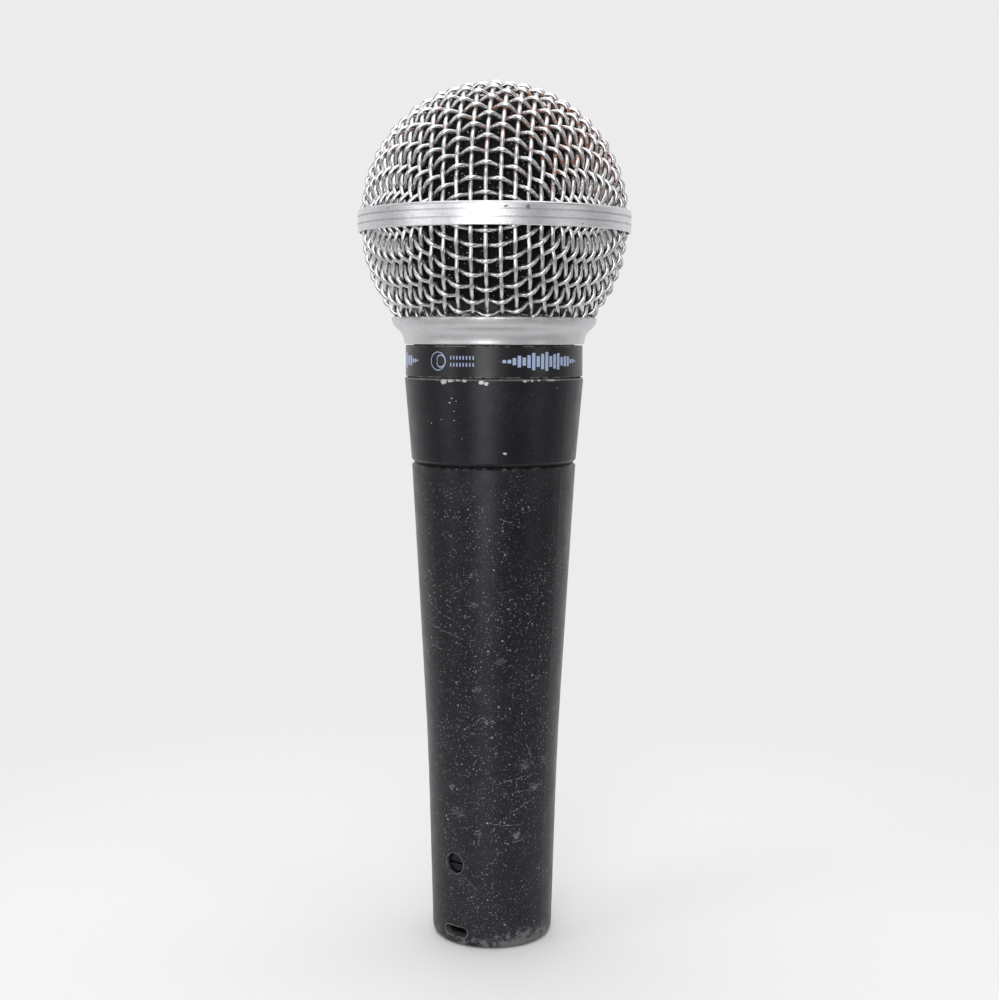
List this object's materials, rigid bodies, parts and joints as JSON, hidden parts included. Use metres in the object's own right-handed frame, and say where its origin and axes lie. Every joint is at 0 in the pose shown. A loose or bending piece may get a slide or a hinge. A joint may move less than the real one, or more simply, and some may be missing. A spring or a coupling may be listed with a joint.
{
  "type": "dynamic microphone",
  "caption": "Handheld dynamic vocal microphone with a tapered metal handle, threaded head and woven ball grille over a sprung cartridge.",
  "frame": {"origin": "centre of the connector end's rim, at the microphone's lowest plane", "axes": "+Z along the microphone's axis towards the grille; -Y is the side with the connector's latch slot and lock screw"},
  "size_m": [0.051, 0.051, 0.162],
  "materials": {
    "black_enamel": "matte",
    "black_enamel_barrel": "matte",
    "label_band": "satin",
    "black_plastic": "matte",
    "gold_contact": "satin",
    "spring_steel": "satin",
    "blackened_steel": "satin",
    "lamination_steel": "matte",
    "white_nylon": "matte",
    "winding_tape": "satin",
    "potting": "satin",
    "lead_red": "satin",
    "lead_black": "satin",
    "shock_rubber": "matte",
    "chamber_aluminium": "satin",
    "felt": "matte",
    "terminal_board": "satin",
    "tinned_brass": "satin",
    "lead_yellow": "satin",
    "lead_green": "satin",
    "acoustic_cloth": "matte",
    "magnet_steel": "satin",
    "magnet_alloy": "matte",
    "seat_brass": "satin",
    "diaphragm_film": "gloss",
    "coil_copper": "satin",
    "mesh_steel": "satin",
    "band_aluminium": "satin",
    "collar_silver": "satin",
    "grille_foam": "matte"
  },
  "bodies": {
    "handle": {"handle_shell": "black_enamel", "xlr_insulator": "black_plastic", "contact_pins": "gold_contact", "ground_spring": "spring_steel", "transformer_core": "lamination_steel", "transformer_bobbin": "white_nylon", "transformer_winding": "winding_tape", "transformer_potting": "potting", "output_lead_red": "lead_red", "output_lead_black": "lead_black"},
    "lock_screw": {"lock_screw": "blackened_steel"},
    "shock_boot": {"lower_shock_boot": "shock_rubber"},
    "head": {"head_barrel": "black_enamel_barrel", "label_band": "label_band", "upper_shock_mount": "shock_rubber"},
    "cartridge": {"acoustic_chamber": "chamber_aluminium", "damping_felt": "felt", "terminal_board": "terminal_board", "solder_lugs": "tinned_brass", "lead_yellow": "lead_yellow", "lead_green": "lead_green", "cartridge_housing": "black_plastic", "rear_port_screen": "acoustic_cloth", "yoke_cup": "magnet_steel", "magnet": "magnet_alloy", "pole_piece": "magnet_steel", "top_plate": "magnet_steel", "diaphragm_seat": "seat_brass", "resonator_cap": "black_plastic", "front_screen": "acoustic_cloth"},
    "diaphragm": {"diaphragm": "diaphragm_film", "voice_coil": "coil_copper"},
    "foam_liner": {"foam_dome": "grille_foam", "foam_bowl": "grille_foam"},
    "grille": {"grille_dome": "mesh_steel", "grille_bowl": "mesh_steel", "grille_band": "band_aluminium", "grille_collar": "collar_silver"}
  },
  "joints": [
    {"name": "lock_screw_turn", "type": "hinge", "parent": "handle", "child": "lock_screw", "pos_m": [0, -0.0075, 0.0161], "axis": [0, -1, 0], "range_deg": [-720, 0]},
    {"name": "head_lift", "type": "slide", "parent": "handle", "child": "shock_boot", "axis": [0, 0, 1], "range_m": [0, 0.0055]},
    {"name": "head_unscrew", "type": "hinge", "parent": "shock_boot", "child": "head", "pos_m": [0, 0, 0.0916], "axis": [0, 0, 1], "range_deg": [0, 1980]},
    {"name": "cartridge_float", "type": "slide", "parent": "head", "child": "cartridge", "axis": [0, 0, 1], "range_m": [-0.0008, 0.0008], "stiffness_N_per_m": 3000},
    {"name": "diaphragm_travel", "type": "slide", "parent": "cartridge", "child": "diaphragm", "axis": [0, 0, 1], "range_m": [-0.00025, 0.00025], "stiffness_N_per_m": 300},
    {"name": "grille_lift", "type": "slide", "parent": "head", "child": "foam_liner", "axis": [0, 0, 1], "range_m": [0, 0.004]},
    {"name": "grille_unscrew", "type": "hinge", "parent": "foam_liner", "child": "grille", "pos_m": [0, 0, 0.11385], "axis": [0, 0, 1], "range_deg": [0, 1440]}
  ],
  "couplings": [
    {"joint": "head_unscrew", "follows": "head_lift", "rad_per_m": 6283.2},
    {"joint": "grille_unscrew", "follows": "grille_lift", "rad_per_m": 6283.2}
  ]
}
